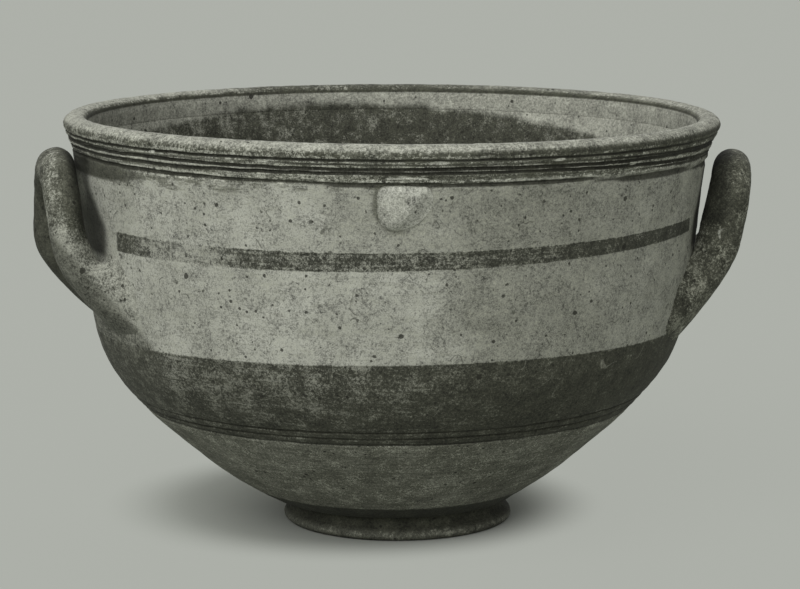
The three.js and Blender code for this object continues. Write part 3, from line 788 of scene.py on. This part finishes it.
def handle(name, side, line, roots, seed, crisp):
    """The skin of a handle on one side (1 or -1). A row is an ellipse about the centre
    line, wide out from the wall and along it; near a root it is the cubic from a point
    of the outline on the wall, leaving along the wall, to the ellipse, arriving along
    the coil. The crisper a root, the more its lower edge stands off the wall. Noise
    moves the skin out and in."""
    line = np.array(line, float)
    out = side * (np.sqrt(wall_radius(line[:, 2]) ** 2 - line[:, 1] ** 2) + line[:, 0])
    path = smooth_line(np.column_stack([out, line[:, 1:]]), np.linspace(0, 1, 1201))
    at = np.append(0, np.cumsum(np.linalg.norm(np.diff(path[:, :3], axis=0), axis=1)))
    angle = full_turn(HANDLE_COLUMNS)

    def section(length):
        """Ellipse of the coil at a length, and the direction that the coil takes."""
        centre, half_out, half_along = (np.stack([np.interp(length, at, path[:, k]) for k in group], -1)
                                        for group in ((0, 1, 2), (3,), (4,)))
        ahead, behind = (np.stack([np.interp(length + step, at, path[:, k]) for k in range(3)], -1)
                         for step in (1.5, -1.5))
        along = (ahead - behind) / np.linalg.norm(ahead - behind, axis=-1, keepdims=True)
        outward = np.array([side, 0.0, 0.0]) - side * along[..., :1] * along
        outward /= np.linalg.norm(outward, axis=-1, keepdims=True)
        across = np.cross(along, outward)
        rim_point = (half_out[:, None] * np.cos(angle)[..., None] * outward[:, None]
                     + half_along[:, None] * np.sin(angle)[..., None] * across[:, None])
        return centre[:, None] + rim_point, along, across

    def root(place, length, inward):
        """Rows from the outline on the wall to the coil."""
        y, z, up, down, away, near = place
        collar, along, across = section(np.array([length]))
        y_side = np.sign(across[0, 1])
        c, s = np.cos(angle), np.sin(angle)
        aside = y_side * s * np.where(y_side * s * np.sign(y) > 0, away, near)
        rise = np.where(c > 0, -down, up) * np.abs(c)
        uneven = 1 + 0.07 * np.sin(3 * angle + seed) + 0.05 * np.sin(7 * angle + 2 * seed)

        def spot(size, depth):
            """The outline at a size, so deep in the wall."""
            height = z + rise * size * uneven
            width = y + aside * size * uneven
            radius = wall_radius(height) - depth
            return np.stack([side * np.sqrt(radius ** 2 - width ** 2), width, height], -1)

        start = spot(1.0, ROOT_SINK)
        pull = spot(ROOT_LEAVE, ROOT_SINK - 1.0) - start
        steep = crisp * np.clip(c, 0, 1)[..., None] ** 2
        normal = np.stack([start[..., 0], start[..., 1], 0 * start[..., 2]], -1)
        normal /= np.linalg.norm(normal, axis=-1, keepdims=True)
        pull = pull * (1 - 0.7 * steep) + normal * ROOT_STANDS * steep
        arrive = along[:, None] * inward * COLLAR * 1.15
        t = np.linspace(0, 1, ROOT_ROWS)[:, None, None]
        return ((2 * t ** 3 - 3 * t ** 2 + 1) * start + (t ** 3 - 2 * t ** 2 + t) * pull
                + (3 * t ** 2 - 2 * t ** 3) * collar + (t ** 3 - t ** 2) * arrive)

    first, last = COIL_BURIED + COLLAR, at[-1] - COIL_BURIED - COLLAR
    near_root = root(roots[0], first, 1)
    far_root = root(roots[1], last, -1)[::-1]
    coil, _, _ = section(np.linspace(first, last, COIL_ROWS)[1:-1])
    turn = -side * HANDLE_FORWARD
    forward = np.array([(math.cos(turn), math.sin(turn), 0), (-math.sin(turn), math.cos(turn), 0), (0, 0, 1)])
    grid = np.concatenate([near_root, coil, far_root])
    share = np.concatenate([np.linspace(1, 0, ROOT_ROWS), np.zeros(len(coil)), np.linspace(0, 1, ROOT_ROWS)])
    before, after = np.roll(grid, 1, axis=1), np.roll(grid, -1, axis=1)
    normal = np.cross(after - before, np.gradient(grid, axis=0))
    normal /= np.maximum(np.linalg.norm(normal, axis=-1, keepdims=True), 1e-9)
    rough = sum(depth * smooth_noise(grid, size, seed + k) for k, (depth, size) in enumerate(COIL_DENTS))
    rough += ROOT_DENTS[0] * share[:, None] * smooth_noise(grid, ROOT_DENTS[1], seed + len(COIL_DENTS))
    grid = grid + normal * rough[..., None] * np.minimum(1.2 - share, 1)[:, None, None]
    poles = []
    for y, z, *_ in roots:
        radius = wall_radius(z) - ROOT_DEPTH
        poles.append(np.array([side * math.sqrt(radius ** 2 - y ** 2), y, z]) @ forward)
    return skin(name, grid @ forward, poles, inward=(1 - np.cos(angle)) / 2)


left_handle = handle("left_coil", -1, LEFT_LINE, LEFT_ROOTS, 51, 0.45)
right_handle = handle("right_coil", 1, RIGHT_LINE, RIGHT_ROOTS, 61, 0.6)


def shaded_inner_side(clay, start, end, low):
    """Painted shade on the side of a coil that faces the bowl, from one share of its turn to another and above
    a height."""
    return clay.product(clay.ramp(clay.field("inward"), start, end), clay.ramp(clay.z, low, 146))


# Dark slip over rough handled clay. On the left it is rubbed to a pale speckle, most of all down the front leg,
# which runs out into the wall's pale slip. The far leg is dark: less worn, and painted darker as painted shade
# behind the near leg. The side that faces the bowl has painted shade.
left_clay = Clay("dark slip worn on the left handle", "#404137", "#515247", 14.0)
to_root = left_clay.product(left_clay.ramp(left_clay.y, -12, -34),
                            left_clay.ramp(left_clay.z, 160, 132, 0.0, 0.13))
# Less wear on the side that faces the bowl, as part of its painted shade
inner_shade_less_wear = left_clay.product(left_clay.ramp(left_clay.field("inward"), 0.30, 0.60, 0.02, -0.05),
                                left_clay.ramp(left_clay.z, 134, 146))
worn = left_clay.breaks(0.4, 0.35, 0.25, (1.0, to_root), (1.0, inner_shade_less_wear),
                        (1.0, left_clay.ramp(left_clay.y, -20, 0, 0.0, -0.06)))
left_clay.paint("#898a80", left_clay.ramp(worn, 0.48, 0.66, 0.0, 0.9))
# Painted shade: the far leg and the back of the loop are darker, behind the near leg
left_clay.paint("#33342b", left_clay.ramp(left_clay.y, -22, -4, 0.0, 0.75))
# Painted shade on the side that faces the bowl
left_clay.paint("#2b2c24", shaded_inner_side(left_clay, 0.55, 0.85, 138), 0.85)
left_clay.paint(SMUDGE_TONE, smudge(left_clay), 0.7)
left_handle.data.materials.append(left_clay.finish("#22221b", bump=COIL_BUMP))

# The right one keeps more of its dark slip, with pale scuffs and scratches, and painted shade on the side that
# faces the bowl.
right_clay = Clay("dark slip scratched on the right handle", "#3c3d33", "#4c4d42", 14.0)
scuffed = right_clay.breaks(0.4, 0.35, 0.25, (1.0, right_clay.ramp(right_clay.z, 150, 120, 0.0, 0.02)))
right_clay.paint("#7c7d71", right_clay.ramp(scuffed, 0.49, 0.60, 0.0, 0.7))
right_clay.paint("#9b9c91", right_clay.scratches(16.0, 0.7, 0.03, (1, 1, 2.2)), 0.8)
# Painted shade on the side that faces the bowl
right_clay.paint("#22231b", shaded_inner_side(right_clay, 0.40, 0.66, 140), 0.85)
right_handle.data.materials.append(right_clay.finish("#1c1c16", bump=COIL_BUMP))

for coil_piece, side_name in ((left_handle, "left"), (right_handle, "right")):
    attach(coil_piece, "root")
    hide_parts(f"{side_name}_handle", f"{side_name}_front_root", f"{side_name}_back_root")

# Front lug
# A flat pellet of clay pressed on under the rim in front, cut straight along its top and rounded below, in the
# wall's pale slip, with painted shade along its left edge.
LUG_RELIEF = 2.6
LUG_COLUMNS = 120
LUG_RINGS = 34
LUG_SINK = 1.2
LUG_BURIED = 4.0
LUG_LEAN = 3.0
LUG_PRESSED = 0.85
# Depth and size of each of its dents in mm
LUG_DENTS = [(0.22, 6.0), (0.10, 2.2)]

# Rings out from the middle: the face is a dome that falls faster towards the edge, the
# lower part leans to the left and the lower right is pressed almost flat
lug_turn = -full_turn(LUG_COLUMNS)
lug_share = np.linspace(0.03, 1, LUG_RINGS)[:, None]
lug_out = np.append(lug_share, [[0.9]], axis=0)
lug_dome = np.append((1 - lug_share ** 3.2) ** 0.62, [[-0.45]], axis=0)
lug_swell = (LUG_RELIEF + LUG_SINK) * lug_dome - LUG_SINK
lug_edge = lug_reach(lug_turn) * (1 + 0.025 * np.sin(3 * lug_turn + 1) + 0.02 * np.sin(5 * lug_turn))
lug_x, lug_rise = lug_out * lug_edge * np.cos(lug_turn), lug_out * lug_edge * np.sin(lug_turn)
lug_z = LUG_HEIGHT_AT + lug_rise
lug_x = lug_x - LUG_LEAN * np.clip(-lug_rise / LUG_DOWN, 0, 1)
lug_tilt = 1 - 0.10 * lug_rise / LUG_UP - 0.18 * lug_x / LUG_HALF
lug_low_right = np.clip((lug_x - 0.6 * lug_rise - 3.0) / 8.0, 0, 1)
lug_swell = lug_swell * np.where(lug_swell > 0, lug_tilt * (1 - LUG_PRESSED * lug_low_right), 1)
lug_places = np.stack([lug_x, lug_z, 0 * lug_x], -1)
for k, (depth, size) in enumerate(LUG_DENTS):
    lug_swell = lug_swell + depth * smooth_noise(lug_places, size, 71 + k)
lug_radius = wall_radius(lug_z)
lug_grid = around(lug_radius + lug_swell, lug_z, LUG_BEARING + lug_x / lug_radius)
lug_middle = wall_radius(LUG_HEIGHT_AT)
lug_poles = [around(lug_middle + out, LUG_HEIGHT_AT, LUG_BEARING) for out in (LUG_RELIEF, -LUG_BURIED)]
lug = skin("lug", lug_grid, lug_poles, rounding=np.append(lug_share, [[1.0]], axis=0))

# The wall's pale slip, a little cleaner on the raised face, with painted shade in the crevice at its left edge.
lug_clay = Clay("pale slip on the lug", "#93948a", "#9d9e94", 8.0)
left_of_lug = lug_clay.ramp(lug_clay.total((1.0, lug_clay.x), (-0.5, lug_clay.z)), -97, -88, 1.0, 0.0)
# Painted shade: the lug's outer edge is darker on its left side
lug_clay.paint("#55564a", lug_clay.ramp(lug_clay.field("rounding"), 0.90, 1.0, 0.0, 0.75), left_of_lug)
lug.data.materials.append(lug_clay.finish("#2a2a22"))
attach(lug, "root")
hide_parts("front_lug")

# Floor, light and camera
# A pale seamless floor, one broad soft light from the upper left in front, weak ones
# low in front and behind, and even light from the room.
FLOOR_HALF = 30.0
FLOOR_TONE = "#aeb1aa"
# Painted shadow: the matt tone is darker than the even tone, which deepens the shade near the foot
PAINTED_SHADOW_TONE = "#a3a69f"
# In metres: the shadow is whole up to the first distance from its middle, and from the
# second on the paper's own tone makes up this much of what is seen
SHADOW_ENDS = (0.075, 0.122)
SHADOW_MIDDLE = (-0.016, 0.030, 0.0)
FAINTEST = 0.92
ROOM_TONE = "#f2f3f0"
ROOM_LIGHT = 0.42
CAMERA_BEARING = math.radians(-7)
CAMERA_DISTANCE = 1.321
CAMERA_HEIGHT = 0.316
CAMERA_ASIDE = 0.0038
CAMERA_PITCH = math.radians(9.08)
CAMERA_SEES = 200.0
FOCAL_PIXELS = 2884
IMAGE_WIDTH = 800
SENSOR_WIDTH = 36

floor_mesh = bpy.data.meshes.new("floor")
corner = FLOOR_HALF * np.array([(-1, -1, 0), (1, -1, 0), (1, 1, 0), (-1, 1, 0)])
floor_mesh.from_pydata(corner.tolist(), [], [(0, 1, 2, 3)])
floor = placed("floor", floor_mesh)

# Matt paper: seen directly it has its own even tone, and takes the shadow only near the
# foot, where the print shows one; other rays meet plain matt paper.
floor_paper = bpy.data.materials.new("matt pale paper")
floor_paper.use_nodes = True
paper = floor_paper.node_tree
paper.nodes.clear()
spot = node(paper, "ShaderNodeTexCoord").outputs["Object"]
away = node(paper, "ShaderNodeVectorMath", spot, SHADOW_MIDDLE, operation="DISTANCE")
evened = node(paper, "ShaderNodeMapRange", away, *SHADOW_ENDS, 0.0, FAINTEST, interpolation_type="SMOOTHSTEP")
ray = node(paper, "ShaderNodeLightPath").outputs
seen = node(paper, "ShaderNodeMath", ray["Is Camera Ray"], ray["Is Glossy Ray"], operation="MAXIMUM")
seen = node(paper, "ShaderNodeMath", seen, ray["Is Transmission Ray"], operation="MAXIMUM")
evened = node(paper, "ShaderNodeMath", evened, seen, operation="MULTIPLY")
# Painted shadow: the matt paper takes the darker tone
matt = node(paper, "ShaderNodeBsdfDiffuse", linear(PAINTED_SHADOW_TONE))
even = node(paper, "ShaderNodeEmission", linear(FLOOR_TONE), 1.0)
node(paper, "ShaderNodeOutputMaterial", node(paper, "ShaderNodeMixShader", evened, matt, even))
floor_mesh.materials.append(floor_paper)


def sun(name, bearing, rise, spread, strength):
    """A far lamp at a bearing and a rise in degrees, spread over an angle. Its -Z axis
    points at the bowl: turned by 90 - rise about X, then by bearing + 90 about Z."""
    light = bpy.data.lights.new(name, "SUN")
    light.angle = math.radians(spread)
    light.energy = strength
    placed(name, light).rotation_euler = (math.radians(90 - rise), 0, math.radians(bearing + 90))


sun("key", bearing=-122, rise=42, spread=50, strength=2.4)
sun("low front light", bearing=-90, rise=14, spread=40, strength=0.35)
sun("weak light from behind", bearing=85, rise=38, spread=60, strength=0.8)
world = bpy.data.worlds.new("room")
world.use_nodes = True
room = world.node_tree.nodes["Background"].inputs
room["Color"].default_value = linear(ROOM_TONE)
room["Strength"].default_value = ROOM_LIGHT
bpy.context.scene.world = world

back = np.array([math.sin(CAMERA_BEARING), -math.cos(CAMERA_BEARING), 0])
right = np.array([math.cos(CAMERA_BEARING), math.sin(CAMERA_BEARING), 0])
lens = bpy.data.cameras.new("camera")
lens.sensor_width = SENSOR_WIDTH
lens.lens = FOCAL_PIXELS * SENSOR_WIDTH / IMAGE_WIDTH
lens.clip_end = CAMERA_SEES
camera = placed("camera", lens)
camera.location = back * CAMERA_DISTANCE + right * CAMERA_ASIDE + np.array([0, 0, CAMERA_HEIGHT])
camera.rotation_euler = (math.pi / 2 - CAMERA_PITCH, 0, CAMERA_BEARING)
bpy.context.scene.camera = camera
bpy.context.scene.view_settings.view_transform = "Standard"
